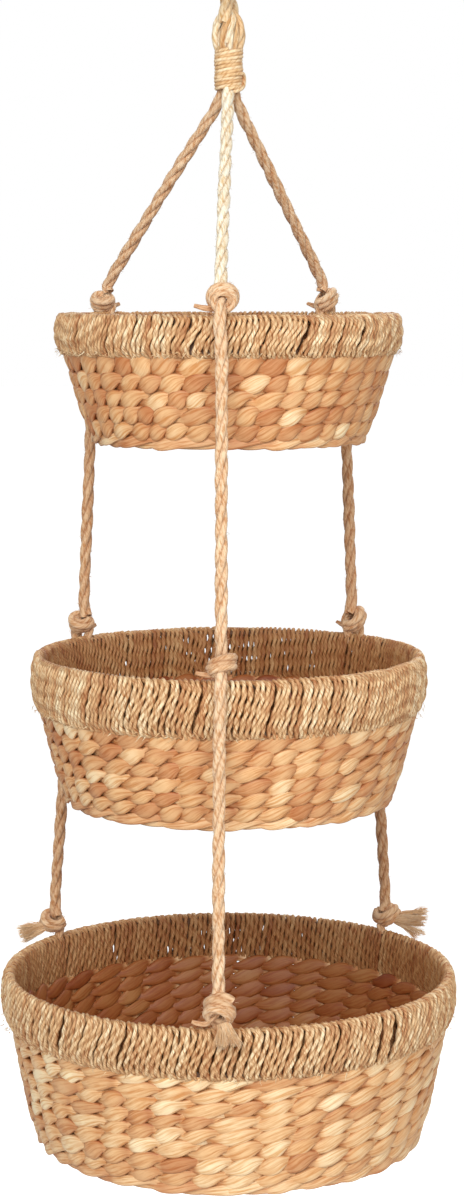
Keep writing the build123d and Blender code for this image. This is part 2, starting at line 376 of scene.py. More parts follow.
def make_fibre_grain():
    """Fine fibres that run along a strand: a height and a mask of the dark lines."""
    group, given, result = new_group(
        "fibre_grain", [("Across", FLOAT), ("Along", FLOAT), ("Slant", FLOAT)],
        [("Height", FLOAT), ("Lines", FLOAT)])
    place = group.nodes.new("ShaderNodeTexCoord")
    split = group.nodes.new("ShaderNodeSeparateXYZ")
    group.links.new(place.outputs["UV"], split.inputs[0])
    turned = math_node(group, "MULTIPLY", split.outputs[1], given.outputs["Slant"])
    turned = math_node(group, "ADD", split.outputs[0], turned)
    layout = group.nodes.new("ShaderNodeCombineXYZ")
    across = math_node(group, "MULTIPLY", turned, given.outputs["Across"])
    along = math_node(group, "MULTIPLY", split.outputs[1], given.outputs["Along"])
    group.links.new(across, layout.inputs[0])
    group.links.new(along, layout.inputs[1])
    height = noise_at(group, layout.outputs[0], scale=1, detail=3, roughness=0.6)
    group.links.new(height, result.inputs["Height"])
    group.links.new(ramp(group, height, 0.36, 0.56), result.inputs["Lines"])
    return group


def make_straw_tone():
    """A dried plant's colour: a dark, a middle and a light tone by the strand's own
    tint, with blotches, and a browner tone multiplied in as painted shade where the
    shade attribute is high."""
    group, given, result = new_group(
        "straw_tone",
        [("Dark", COLOUR), ("Middle", COLOUR), ("Light", COLOUR), ("Inner", COLOUR),
         ("Blotch", FLOAT)],
        [("Color", COLOUR)])
    tint = group.nodes.new("ShaderNodeAttribute")
    tint.attribute_name = "tint"
    shade = group.nodes.new("ShaderNodeAttribute")
    shade.attribute_name = "shade"
    place = group.nodes.new("ShaderNodeTexCoord")
    patches = noise_at(group, place.outputs["Object"], scale=90, detail=2)
    centred = math_node(group, "SUBTRACT", patches, 0.5)
    blotch = math_node(group, "MULTIPLY", centred, given.outputs["Blotch"])
    level = math_node(group, "ADD", tint.outputs["Fac"], blotch)
    lower, upper = ramp(group, level, 0.0, 0.5), ramp(group, level, 0.5, 1.0)
    colour = mix_colours(group, lower, given.outputs["Dark"], given.outputs["Middle"])
    colour = mix_colours(group, upper, colour, given.outputs["Light"])
    # Painted shade: the shade attribute blends in the browner tone, which multiplies the colour.
    inner = mix_colours(group, shade.outputs["Fac"], WHITE, given.outputs["Inner"])
    colour = mix_colours(group, 1.0, colour, inner, "MULTIPLY")
    group.links.new(colour, result.inputs["Color"])
    return group


fibre_grain = make_fibre_grain()
straw_tone = make_straw_tone()


def placed(tree, group, **values):
    node = tree.nodes.new("ShaderNodeGroup")
    node.node_tree = group
    for label, value in values.items():
        node.inputs[label].default_value = value
    return node


def new_finish(name, roughness, sheen=0.0, specular=0.4):
    """A material with its node tree and its shader node."""
    material = bpy.data.materials.new(name)
    material.use_nodes = True
    tree = material.node_tree
    shader = tree.nodes["Principled BSDF"]
    shader.inputs["Roughness"].default_value = roughness
    shader.inputs["Specular IOR Level"].default_value = specular
    shader.inputs["Sheen Weight"].default_value = sheen
    return material, tree, shader


def add_relief(tree, shader, height, strength, distance):
    relief = tree.nodes.new("ShaderNodeBump")
    relief.inputs["Strength"].default_value = strength
    relief.inputs["Distance"].default_value = distance
    tree.links.new(height, relief.inputs["Height"])
    tree.links.new(relief.outputs[0], shader.inputs["Normal"])


def plant_finish(name, tones, blotch, grain, darken, bump, **shader_values):
    """The finish of a dried plant strand or of spun fibre. The tones are the dark,
    middle and light one, and the browner one painted in as shade; the grain is how
    fine it is across and along and how it slants; the bump is its strength and height."""
    material, tree, shader = new_finish(name, **shader_values)
    # The fourth tone is the painted shade, laid on where the shade attribute is high.
    dark, middle, light, inner = (tone(*screen) for screen in tones)
    across, along, slant = grain
    colour = placed(
        tree, straw_tone, Dark=dark, Middle=middle, Light=light, Inner=inner, Blotch=blotch)
    fibres = placed(tree, fibre_grain, Across=across, Along=along, Slant=slant)
    lined = mix_colours(tree, fibres.outputs["Lines"], tone(*darken), WHITE)
    base = mix_colours(tree, 1.0, colour.outputs["Color"], lined, "MULTIPLY")
    tree.links.new(base, shader.inputs["Base Color"])
    add_relief(tree, shader, fibres.outputs["Height"], *bump)
    return material


# Each finish's fourth tone is its painted shade.
seagrass = plant_finish(
    "seagrass_cord",
    ((204, 156, 108), (232, 198, 150), (252, 236, 198), (196, 170, 144)),
    blotch=0.55, grain=(11, 110, 60), darken=(196, 152, 112), bump=(0.5, 0.6 * MM),
    roughness=0.6)
hyacinth = plant_finish(
    "water_hyacinth",
    ((200, 140, 92), (232, 188, 136), (251, 230, 188), (172, 130, 94)),
    blotch=0.45, grain=(20, 34, 3), darken=(228, 194, 156), bump=(0.3, 0.6 * MM),
    roughness=0.5)
binding = plant_finish(
    "hyacinth_binding",
    ((208, 152, 106), (232, 192, 144), (247, 222, 178), (190, 154, 122)),
    blotch=0.45, grain=(20, 40, 3), darken=(222, 186, 148), bump=(0.3, 0.6 * MM),
    roughness=0.5)
jute = plant_finish(
    "jute_rope",
    ((196, 150, 110), (222, 186, 146), (243, 218, 184), (198, 158, 122)),
    blotch=0.6, grain=(9, 170, 45), darken=(214, 178, 142), bump=(0.6, 0.8 * MM),
    roughness=0.8, sheen=0.15)
pale_jute = plant_finish(
    "pale_jute_rope",
    ((212, 172, 124), (232, 210, 172), (244, 238, 218), (204, 164, 122)),
    blotch=0.5, grain=(9, 130, 45), darken=(222, 196, 158), bump=(0.6, 0.6 * MM),
    roughness=0.8, sheen=0.15)
twine = plant_finish(
    "jute_twine",
    ((206, 158, 108), (230, 198, 150), (246, 228, 192), (188, 142, 98)),
    blotch=0.5, grain=(8, 160, 80), darken=(214, 178, 134), bump=(0.5, 0.4 * MM),
    roughness=0.8, sheen=0.1)
frayed = plant_finish(
    "frayed_jute",
    ((212, 166, 120), (236, 200, 154), (250, 226, 190), (196, 152, 116)),
    blotch=0.6, grain=(3, 60, 0), darken=(226, 196, 162), bump=(0.2, 0.2 * MM),
    roughness=0.85, sheen=0.2)


def make_enamel():
    """Dark enamel on the frame's iron wire, uneven where it has pooled."""
    material, tree, shader = new_finish("iron_wire", roughness=0.35)
    place = tree.nodes.new("ShaderNodeTexCoord")
    pooled = noise_at(tree, place.outputs["Object"], scale=240, detail=2)
    base = mix_colours(tree, pooled, tone(74, 50, 36), tone(110, 78, 54))
    tree.links.new(base, shader.inputs["Base Color"])
    add_relief(tree, shader, pooled, strength=0.2, distance=0.3 * MM)
    return material


enamel = make_enamel()


# -------- baskets


def measure(name):
    """A basket's sizes, from its CAD solids."""
    band_low, band_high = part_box(f"{name}_rim_band")
    wall_low, wall_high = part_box(f"{name}_body_weave")
    ring_low, ring_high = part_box(f"{name}_base_binding")
    return {
        "name": name,
        "radius": band_high[0],
        "rim": band_high[2],
        "band": band_high[2] - band_low[2],
        "wall_top": wall_high[2],
        "wall_foot": wall_low[2],
        "wall_radius": wall_high[0],
        "base_radius": ring_high[0],
        "underside": ring_low[2],
    }


# A rim band is one seagrass cord wound over its hoops, half the cord's thickness
# inside the band's outline and broader than its pitch, so that the turns press on
# each other. A turn leans so far between the band's edges, less on the inner face.
cord_thickness, cord_width, cord_pitch = 3.5 * MM, 4.35 * MM, 4.1 * MM
cord_lean, inner_lean = 10.5 * MM, 0.4
cord_twist, cord_wander = 22 * MM, 0.4 * MM
turn_power, turn_step, lower_tuck = 0.85, 2.0 * MM, 3.4 * MM
# In a few places the turns have parted, and the next ones are pushed together.
gap_count, gap_half, turns_pushed = 8, 1.5 * MM, 6
rusty_share, ragged_ends = 0.04, 170


def wound_loop(half_width, half_height):
    """The round of one turn: (across, up) pairs an even step apart."""
    turns = np.linspace(0, 2 * np.pi, 200)
    across = half_width * squared(np.cos(turns), turn_power)
    up = half_height * squared(np.sin(turns), turn_power)
    line = evenly(np.stack([across, up, 0 * up], axis=-1), turn_step)
    return line[:-1, :2]


def wind(strands, radius, height, loop, turns):
    """One cord wound round and round a hoop, as a closed helix that leans."""
    rings = len(loop)
    total = rings * turns
    across, up = np.tile(loop[:, 0], turns), np.tile(loop[:, 1], turns)
    level, side = up / np.abs(up).max(), across / np.abs(across).max()
    mid_height = np.cos(np.pi / 2 * level)
    share = np.arange(total) / total

    def each(values):
        """One value for each turn, changing evenly from turn to turn."""
        return np.interp(turns * share, np.arange(turns), values, period=turns)

    # How far along the hoop each point lies from its turn's own place.
    slant = level * np.where(side > 0, side, inner_lean * side)
    shift = cord_lean / 2 * slant * (1 + drift(total, (3, 7, 12), 0.5))
    shift += each(random.normal(0, cord_wander, turns))
    shift += each(random.normal(0, cord_wander, turns)) * mid_height
    shift += each(random.normal(0, 1.2 * cord_wander, turns)) * level
    parted = np.zeros(turns)
    beyond = np.arange(turns_pushed)
    push = gap_half * np.exp(-beyond / 2)
    for gap in random.integers(8, turns - 8, gap_count):
        parted[gap + beyond] += push
        parted[gap - 1 - beyond] -= push
    shift += each(parted) * (0.3 + 0.7 * mid_height)
    angle = 360 * share + np.degrees(shift / radius)

    # The lower edge of the outer face is tucked in, where the wall begins.
    lift = each(random.uniform(-0.35, 0.25, turns)) * MM
    tuck = lower_tuck * np.clip(-level, 0, 1) ** 2 * (0.5 + 0.5 * side)
    path = around(angle, radius + across - tuck + lift * side, height + up)
    outward = radial(angle) * side[:, None]
    outward = outward + UP * (level * np.abs(level) ** 3)[:, None]

    length = np.cumsum(np.linalg.norm(np.diff(path, axis=0, prepend=path[-1:]), axis=-1))
    twist = np.pi * round(2 * length[-1] / cord_twist) * length / length[-1]
    broad = cord_width * (1 + each(random.uniform(-0.1, 0.1, turns)))
    section, groove, ply = two_ply(broad, twist)

    tint = each(np.clip(random.normal(0.55, 0.22, turns), 0.05, 1))
    rust = np.repeat(random.uniform(0, 1, turns) < rusty_share, rings)
    tint = np.where(rust, 0.0, tint) + 0.1 * np.sin(length / (8 * MM))
    # Painted shade: the band's inner face is browner, and so are the grooves between the plies and
    # the flanks where one turn presses on the next; the tint is lowered there too.
    within = np.clip(0.45 - 0.8 * side, 0, 1)[:, None]
    flank_shade = np.abs(np.sin(round_turns(ply_corners))) ** 4
    deep = np.maximum(0.95 * groove ** 1.5, 0.8 * flank_shade)
    strands.add(
        path, outward, section, tint[:, None] + 0.07 * ply - 0.15 * deep,
        np.maximum(within, deep), closed=True)


def ragged_edge(strands, tier):
    """Fibre ends that stand off the band's lower edge, down and to one side."""
    low = tier["rim"] - tier["band"] + 1.5 * MM
    steps = np.linspace(0, 1, 5)[:, None]
    for _ in range(ragged_ends):
        angle = random.uniform(-180, 180)
        inset, rise = random.uniform(1, 3) * MM, random.uniform(0, 4) * MM
        root = around(angle, tier["radius"] - inset, low + rise)
        aim = around(angle - 90, random.uniform(0.1, 0.9), 0.0)
        aim = aim + around(angle, random.uniform(0.1, 0.7), 0.0)
        aim = aim - UP * random.uniform(0.3, 1.0)
        length = random.uniform(2.5, 5.5) * MM
        line = root + length * (steps * aim + 0.3 * steps ** 2 * random.normal(0, 1, 3))
        broad = np.linspace(random.uniform(0.3, 0.8), 0.08, 5) * MM
        tint = random.uniform(0.3, 1)
        strands.add(line, radial(angle), oval(broad * 0.35, broad, 4), tint)


def rim_band(tier):
    """The wound cord, with the loose ends at its lower edge."""
    loop = wound_loop((band_thickness - cord_thickness) / 2, (tier["band"] - cord_thickness) / 2)
    middle = tier["radius"] - band_thickness / 2
    turns = int(2 * math.pi * tier["radius"] / cord_pitch)
    strands = Strands()
    wind(strands, middle, tier["rim"] - tier["band"] / 2, loop, turns)
    ragged_edge(strands, tier)
    return strands


# How far a wall has drawn in towards its foot, at each share of the way down.
wall_depths, wall_drawn_in = (0.0, 0.5, 0.85, 1.0), (0.0, 0.42, 0.72, 1.0)
row_counts = {"top": 5, "middle": 6, "bottom": 8}
# The first row's height as a share of the others'.
first_rows = {"top": 1.35, "middle": 1.1, "bottom": 0.9}
# Each frame has ten wires among its forty stakes; the angle is the first wire's.
wire_count, stake_count = 10, 40
first_wires = {"top": 96.0, "middle": 96.0, "bottom": 120.0}
# How pale each wall's leaves are on average.
palenesses = {"top": 0.36, "middle": 0.42, "bottom": 0.6}
# The wall goes on a little behind the band. Rows and rounds are broader than their
# pitch, so that each covers its neighbour's edge.
behind_band, row_overlap, round_overlap = 3.5 * MM, 1.1, 1.14
ring_height, ring_depth, ring_leaf = 8.4 * MM, 6.6 * MM, 34 * MM
round_width, floor_depth, floor_leaf = 10.5 * MM, 5.8 * MM, 22 * MM
floor_inset, floor_lift = 6 * MM, 0.3 * MM


def twined_row(
        strands, radius, height, row_size, directions, count, shade_of, depth, phase=0.0,
        wires=None, paleness=0.5):
    """Two stems twined round the stakes: each passes outside one stake and inside
    the next, so that broad leaves, leaning and pointed, show on both faces. Where
    the frame's wires are among the stakes, the leaves keep them covered."""
    rings = 12 * count
    share = np.arange(rings) / rings
    wandering = drift(rings, (5, 9, 14), 0.16) + drift(rings, (2, 3), 0.4)
    angle = 360 * share
    if wires is not None:
        angle = angle + wires
        wandering = wandering * np.sin(np.radians(wire_count / 2 * (angle - wires)))
    out_direction, up_direction = directions(angle)
    place = count * share + phase + wandering
    lobes = round_turns(14)
    flat_out, flat_across = squared(np.cos(lobes), 0.5), squared(np.sin(lobes), 0.9)
    for stem in range(2):
        swing = np.pi * (place + stem)
        segment = np.floor(place + stem + 0.5).astype(int) % count
        blend = np.clip((place + stem + 0.5) % 1 / 0.2, 0, 1)
        blend = blend * blend * (3 - 2 * blend)

        def each(values):
            """One value for each leaf, blended where one leaf meets the next."""
            return values[segment - 1] * (1 - blend) + values[segment] * blend

        plump = each(random.uniform(0.88, 1.12, count))
        raised = each(random.normal(0, 0.035, count)) * row_size
        lean = each(random.uniform(0.85, 1.12, count))
        tint = each(np.clip(random.normal(paleness, 0.2, count), 0, 1))

        # A leaf is broadest and thinnest half way, where it is furthest out or in.
        bulge = np.abs(np.cos(swing)) ** 0.9
        half_across = (row_size * (0.27 + 0.27 * bulge) * plump)[:, None]
        half_out = (depth * (0.26 - 0.05 * bulge))[:, None]
        offset = (0.26 * depth * squared(np.cos(swing - 0.25), 0.8))[:, None]
        rise = (row_size * 0.27 * np.sin(swing) * lean + raised)[:, None]
        path = around(angle, radius, height) + out_direction * offset + up_direction * rise
        section = np.stack([half_out * flat_out, half_across * flat_across], axis=-1)
        creases = 1 + 0.035 * np.sin(3 * lobes + 1.3 * segment[:, None])
        creases = creases + 0.03 * np.sin(7 * lobes + segment[:, None])

        # Painted shade: shade_of shades what lies inside the basket, and the leaf's tips, where it
        # passes under its neighbours, and its edges are darkened in both the tint and the shade
        # attribute.
        level = (offset + half_out * flat_out) / (depth / 2)
        tip = 1 - bulge[:, None]
        edge = np.abs(np.sin(lobes)) ** 8
        strands.add(
            path, out_direction, section * creases[..., None],
            tint[:, None] - 0.2 * tip - 0.12 * edge,
            np.maximum(shade_of(level), 0.2 * tip + 0.6 * edge), closed=True)


def even_count(radius, pitch):
    """Stakes about a pitch apart. Only an even number lets the stems close."""
    return 2 * max(3, round(math.pi * radius / pitch))


def within_wall(level):
    """The shade at a level in the wall's thickness, 1 outside and -1 inside."""
    return np.clip(0.1 - 2.5 * level, 0, 1)


def within_basket(level):
    """The shade of a floor, which lies wholly inside."""
    return 1 + 0 * level


def upright(angle):
    """The directions out of an upright row and up it."""
    return radial(angle), UP


def level_floor(angle):
    """The directions out of a floor's round and on to the next round."""
    return UP, radial(angle)


def base_ring(tier):
    """The thin bound ring round the foot of the wall."""
    strands = Strands()
    twined_row(
        strands, tier["base_radius"] - ring_depth / 2 - seat_gap,
        tier["underside"] + ring_height / 2, ring_height, upright,
        even_count(tier["base_radius"], ring_leaf), within_wall, ring_depth)
    return strands


def body_weave(tier):
    """The wall's rows, from the band down."""
    strands = Strands()
    rows = row_counts[tier["name"]]
    top, foot = tier["wall_top"] + behind_band, tier["wall_foot"]
    heights = random.uniform(0.92, 1.08, rows)
    heights[0] *= first_rows[tier["name"]]
    edges = np.concatenate([[0], np.cumsum(heights)]) / heights.sum()
    slope = (tier["wall_radius"] - tier["base_radius"]) / (top - foot)

    def sloping(angle):
        """The directions out of the sloping wall and up it."""
        return unit(radial(angle) - slope * UP), unit(UP + slope * radial(angle))

    for row in range(rows):
        middle = (edges[row] + edges[row + 1]) / 2
        size = (edges[row + 1] - edges[row]) * (top - foot)
        drawn_in = np.interp(middle, wall_depths, wall_drawn_in)
        outer = tier["wall_radius"] + (tier["base_radius"] - tier["wall_radius"]) * drawn_in
        twined_row(
            strands, outer - wall_thickness / 2, top - middle * (top - foot),
            size * row_overlap, sloping, stake_count, within_wall, wall_thickness,
            wires=first_wires[tier["name"]], paleness=palenesses[tier["name"]])
    return strands


def base_weave(tier):
    """The floor: flat rounds of the same twining, from the middle outwards."""
    strands = Strands()
    low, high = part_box(f"{tier['name']}_base_weave")
    height = (low[2] + high[2]) / 2 + floor_lift
    outer = tier["base_radius"] - floor_inset
    rounds = round(outer / round_width)
    size = outer / rounds
    for step in range(rounds):
        radius = size * (step + 0.5)
        twined_row(
            strands, radius, height, size * round_overlap, level_floor,
            even_count(radius, min(floor_leaf, 2.1 * radius)), within_basket, floor_depth,
            phase=0.3 * step, paleness=0.4)
    return strands


# What dresses each basket: how it is made, its name, its finish, and its solid.
dressings = (
    (rim_band, "rim_cord", seagrass, "rim_band"),
    (base_ring, "base_cord", binding, "base_binding"),
    (body_weave, "wall_weave", hyacinth, "body_weave"),
    (base_weave, "floor_weave", hyacinth, "base_weave"),
)
tiers = {name: measure(name) for name in ("top", "middle", "bottom")}
for name, tier in tiers.items():
    for weave, label, finish, solid in dressings:
        piece = weave(tier).build(f"{name}_{label}", finish, f"{name}_tier")
        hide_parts(f"{name}_{solid}")
    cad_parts[f"{name}_wire_frame"].data.materials[0] = enamel


# -------- ropes

# How pale each rope is where it hangs free and above the top rim, and each tier's knots.
rope_tints = {"left": 0.36, "front": 0.72, "right": 0.36}
upper_tints = {"left": 0.64, "front": 0.9, "right": 0.64}
knot_tints = {"top": 0.66, "middle": 0.45, "bottom": 0.45}

# How each rope's knot sits, in millimetres and degrees: how wide its turns are, how
# far they tip back and slope to one side, how far they lie to the lobe's side and
# above the usual place, and how many there are.
knot_shapes = {
    "top": (
        (5.8, 25, -30, 3.0, -3.0, 1.95), (6.6, 66, 4, 1.5, 0.0, 1.95),
        (6.8, 40, 24, 1.5, -3.0, 1.95)),
    "middle": (
        (6.4, 25, -24, 1.5, -1.0, 1.95), (7.6, 14, 14, 0.5, 0.0, 1.95),
        (7.0, 52, 12, 1.0, -1.0, 1.95)),
    "bottom": (
        (6.6, 35, -18, 1.0, -1.0, 1.95), (7.7, 48, -24, 1.0, 2.0, 2.5),
        (6.8, 34, 20, 1.0, 0.0, 2.2)),
}
# The side to which each rope's knots bulge: 1 towards larger angles, -1 to smaller.
lobe_sides = (1, 1, -1)

# Each tassel, in millimetres beside its knot: its root, the way it points, its
# length, and how far it fans out.
tassel_shapes = (
    ((6, 4, -3), (0.9, 0.9, -0.45), 22, 7.0),
    ((4, 7, -4), (0.30, 0.30, -1.0), 17, 8.5),
    ((7, 3, -1), (1.0, 0.45, 0.0), 25, 9.5),
)
tuft_count, fibres_in_tuft = 11, 42
knot_hairs, upper_hairs, stretch_hairs = 130, 150, 220
hair_reach = 3.4 * MM


def outside(tier):
    """How far from the middle a rope runs where it lies on a band."""
    return tier["radius"] + rope_diameter / 2 + seat_gap


def foot(tier, angle):
    """Where a rope leaves a band's lower edge."""
    return around(angle, outside(tier), tier["rim"] - tier["band"] - seat_gap - rope_diameter / 2)


def knot_centre(tier, angle):
    radius = tier["radius"] - band_thickness / 2 + knot_overhang
    return around(angle, radius, tier["rim"] + half_knot + seat_gap)


def landing(tier, angle):
    """Where a hanging rope's solid ends, above the knot's, which is tipped back."""
    rise = (rope_diameter + seat_gap) / math.cos(math.radians(knot_tilt))
    return knot_centre(tier, angle) + UP * rise


def beside_knot(tier, index):
    """A function from (across, out, up) beside a knot to a place."""
    angle = knot_angles[tier["name"]][index]
    centre = knot_centre(tier, angle)
    axes = np.array([radial(angle + 90) * lobe_sides[index], radial(angle), UP])

    def place(across, out, up):
        return centre + np.stack(np.broadcast_arrays(across, out, up), axis=-1) @ axes

    return place


def turned(first, second, angle):
    """Two measures square to each other, turned from the first to the second."""
    return (
        first * np.cos(angle) - second * np.sin(angle),
        second * np.cos(angle) + first * np.sin(angle))


def hitch(place, size, tip, slope, aside, above, turns):
    """The points of a knot's turns round the rope. Each is above the one before and a
    little wider, and they are tipped back and sloped as a whole."""
    share = np.linspace(0, 1, round(13 * turns))
    turn = np.radians(-140) + 2 * np.pi * turns * share
    radius = size * MM * (1 + 0.004 * tip * share)
    across, out, up = radius * np.sin(turn), radius * np.cos(turn), (share - 0.5) * 4.4 * turns * MM
    out, up = turned(out, up, np.radians(tip))
    across, up = turned(across, up, np.radians(slope))
    return place(across + aside * MM, out + 1.5 * MM, up + (0.8 + above) * MM)


def make_knot(tier, index):
    """A knot round the rope on the band's crest, its leg going down between the
    cords, and its short tail."""
    name, side = tier["name"], sides_of_rope[index]
    angle = knot_angles[name][index]
    place = beside_knot(tier, index)
    turns = hitch(place, *knot_shapes[name][index])
    inner = tier["radius"] - band_thickness / 2
    line = smooth_route([
        around(angle, inner, tier["rim"] - 9 * MM),
        around(angle, inner, tier["rim"] - 3 * MM),
        place(-2 * MM, -5 * MM, -6 * MM),
        *turns,
    ])
    tail = smooth_route([
        turns[-2],
        place(-6 * MM, 1 * MM, -6 * MM),
        place(-13 * MM, 4 * MM, -6 * MM),
        place(-19 * MM, 4 * MM, -4 * MM),
    ])
    strands = Strands()
    laid_rope(
        strands, line, diameter=9.6 * MM, lay=80 * MM, tint=knot_tints[name], taper=(0.7, 1.02))
    laid_rope(strands, tail, lay=60 * MM, tint=0.25, taper=(0.75, 0.32))
    hairs(strands, line, knot_hairs, 3 * MM)
    piece = strands.build(f"{side}_{name}_tie", jute, f"{name}_tier")
    if name != "top":
        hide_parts(f"{side}_{name}_knot")


def make_stretch(above, below, index):
    """The rope from a knot, down over the band and on to the next knot."""
    name = sides_of_rope[index]
    angle, next_angle = knot_angles[above["name"]][index], knot_angles[below["name"]][index]
    start, end = beside_knot(above, index), beside_knot(below, index)
    turning = foot(above, next_angle)
    landed = landing(below, next_angle)
    route = smooth_route([
        start(0.0, -1 * MM, 2 * MM),
        start(0.0, 4 * MM, -2 * MM),
        around(angle, outside(above) + 0.2 * MM, above["rim"] + 4 * MM),
        around(angle, outside(above) + 0.3 * MM, above["rim"] - 8 * MM),
        around(next_angle, outside(above) + 0.3 * MM, above["rim"] - above["band"] + 6 * MM),
        turning - UP * 2 * MM,
        turning * 0.6 + landed * 0.4,
        turning * 0.25 + landed * 0.75,
        landed,
        end(0.0, -2 * MM, 7 * MM),
        end(0.0, -3 * MM, 4 * MM),
    ])
    strands = Strands()
    laid_rope(strands, route, tint=rope_tints[name])
    hairs(strands, route, stretch_hairs, hair_reach)
    piece = strands.build(f"{name}_{below['name']}_stretch", jute)
    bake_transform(piece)
    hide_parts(f"{name}_{below['name']}_rope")


whipping_low, whipping_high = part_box("whipping")
crown_low, crown_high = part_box("loop_crown")
gather_radius = 4.6 * MM


def make_upper(index):
    """The rope from under the whipping to the top basket's knot."""
    name = sides_of_rope[index]
    angle = knot_angles["top"][index]
    knot = beside_knot(tiers["top"], index)
    above_knot = knot(0.0, 0.0, 10 * MM)
    leave = around(angle, gather_radius, whipping_low[2])
    toward = unit(knot_centre(tiers["top"], angle) - leave)
    route = smooth_route([
        around(angle, gather_radius, whipping_low[2] + 14 * MM),
        leave,
        leave + toward * 14 * MM - UP * 1 * MM,
        leave * 0.6 + above_knot * 0.4,
        leave * 0.2 + above_knot * 0.8,
        above_knot,
        knot(0.0, -2 * MM, 7 * MM),
        knot(0.0, -3 * MM, 4 * MM),
    ])
    strands = Strands()
    laid_rope(strands, route, tint=upper_tints[name])
    hairs(strands, route, upper_hairs, hair_reach)
    piece = strands.build(f"{name}_top_stretch", pale_jute if name == "front" else jute)
    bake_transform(piece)
    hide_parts(f"{name}_upper_rope")


def make_tassel(index):
    """The rope's frayed end: tufts of loose fibres that fan out of the knot."""
    name = sides_of_rope[index]
    place = beside_knot(tiers["bottom"], index)
    root, aim, reach, fan = tassel_shapes[index]
    origin = place(*(np.array(root) * MM))
    direction = unit(place(*aim) - place(0, 0, 0))
    beside = unit(np.cross(direction, [0.1, 0.2, 1.0]))
    over = np.cross(beside, direction)
    steps = np.linspace(0, 1, 8)[:, None]
    half = np.linspace(0.34, 0.14, 8) * MM
    spread = (2.2 + (fan - 2.2) * steps ** 0.8) * MM
    strands = Strands()
    for tuft in range(tuft_count):
        lean, turn = random.uniform(0.2, 1) ** 0.6, 2.4 * tuft
        side = (beside * math.cos(turn) + over * math.sin(turn)) * lean
        bend = random.normal(0, 1.6, 3) * MM
        length = reach * random.uniform(0.8, 1.08) * MM
        tint = random.uniform(0.4, 0.95)
        for fibre in range(fibres_in_tuft):
            away = beside * random.normal(0, 1) + over * random.normal(0, 1)
            line = origin + direction * length * random.uniform(0.8, 1.05) * steps
            line = line + side * spread + bend * steps ** 2
            line = line + away * (0.75 + 0.6 * steps ** 2) * MM
            line = line + over * 0.4 * MM * np.sin(steps * 8 + fibre)
            own_tint = tint + random.uniform(-0.2, 0.2)
            strands.add(line, away + 0.01, oval(half, half, 3), own_tint)
    piece = strands.build(f"{name}_tassel_brush", frayed, "bottom_tier")
    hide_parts(f"{name}_tassel")


for index in range(3):
    make_upper(index)
    make_knot(tiers["top"], index)
    make_stretch(tiers["top"], tiers["middle"], index)
    make_knot(tiers["middle"], index)
    make_stretch(tiers["middle"], tiers["bottom"], index)
    make_knot(tiers["bottom"], index)
    make_tassel(index)


# -------- gather, crown and loop

# The ropes' ends above the whipping: where each stands, how far out it reaches in
# millimetres, its thickness as a share of the rope's, its tint, and how far round it
# turns as it folds over.
crown_folds = (
    (-92, 8.2, 1.16, 0.7, 4), (94, 8.2, 1.16, 0.25, -4), (-38, 7.0, 0.8, 0.05, 60),
    (-2, 7.4, 0.8, 0.75, 64), (48, 7.0, 0.62, 0.2, 20), (165, 7.2, 0.95, 0.1, 10),
    (-150, 7.2, 0.85, 0.4, 10),
)


def make_gather():
    """The three ropes' legs, bound together inside the whipping."""
    strands = Strands()
    for angle in knot_angles["top"]:
        low = around(angle, gather_radius, whipping_low[2] + 2 * MM)
        high = around(angle, gather_radius, whipping_high[2] + 2 * MM)
        laid_rope(strands, np.stack([low, (low + high) / 2, high]))
    piece = strands.build("gathered_legs", jute, "gather")
    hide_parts("rope_gather")


def make_whipping():
    """One length of twine wound twelve times, rising to the right, its end tucked in."""
    turns, rings_in_turn, twine_half = 12, 40, 1.55 * MM
    low, high = whipping_low[2], whipping_high[2]
    steps = np.arange(turns * rings_in_turn + 1) / rings_in_turn
    pitch = (high - low - 4.5 * MM) / turns
    radius = whipping_high[0] - 1.3 * MM
    angle = 360 * steps
    slope = 1.3 * MM * np.sin(np.radians(angle - 20))
    wobble = 0.2 * MM * np.sin(steps * 5.1) + 0.15 * MM * np.sin(steps * 13.7)
    wound = around(angle, radius + wobble, low + 2.2 * MM + pitch * steps + slope + wobble)
    tuck = smooth_route([
        around(30, radius + 1 * MM, low + 12 * MM),
        around(60, radius + 1.9 * MM, low + 13.5 * MM),
        around(84, radius + 2.2 * MM, low + 12 * MM),
        around(88, radius + 2.2 * MM, low + 7 * MM),
        around(72, radius + 2.0 * MM, low + 3 * MM),
        around(40, radius + 1.4 * MM, low + 0.5 * MM),
        around(24, radius - 0.5 * MM, low - 0.5 * MM),
    ])
    tuck = spaced(tuck, 0.8 * MM)
    # Painted shade along each turn's flanks, where it meets the next turn.
    flank_shade = np.abs(np.sin(round_turns(12))) ** 3
    strands = Strands()
    for line, outward in ((wound, radial(angle)), (tuck, unit(tuck * [1, 1, 0]))):
        ring = np.arange(len(line))
        half = twine_half * (1 + 0.06 * np.sin(ring / 11))
        tint = 0.6 + 0.28 * np.sin(ring / 17)
        strands.add(line, outward, oval(half, half, 12), tint, 0.8 * flank_shade[None])
    piece = strands.build("twine_turns", twine, "gather")
    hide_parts("whipping")


def make_crown():
    """The ropes' upper ends, folded over above the whipping."""
    strands = Strands()
    foot_height, top = crown_low[2], crown_high[2]
    middle = foot_height + 0.55 * (top - foot_height)
    for angle, reach, size, tint, turn in crown_folds:
        line = smooth_route([
            around(angle, 4.4 * MM, foot_height - 5 * MM),
            around(angle, reach * 0.85 * MM, foot_height + 2 * MM),
            around(angle + 0.15 * turn, (reach + 0.9) * MM, middle - 2 * MM),
            around(angle + 0.5 * turn, reach * 0.92 * MM, middle + 5 * MM),
            around(angle + 0.9 * turn, reach * 0.5 * MM, top + 1 * MM),
            around(angle + turn, 1.2 * MM, top + 5 * MM),
        ])
        laid_rope(strands, line, diameter=rope_diameter * size, tint=tint, taper=(1, 0.6))
    piece = strands.build("folded_crown", pale_jute, "gather")
    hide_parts("loop_crown")


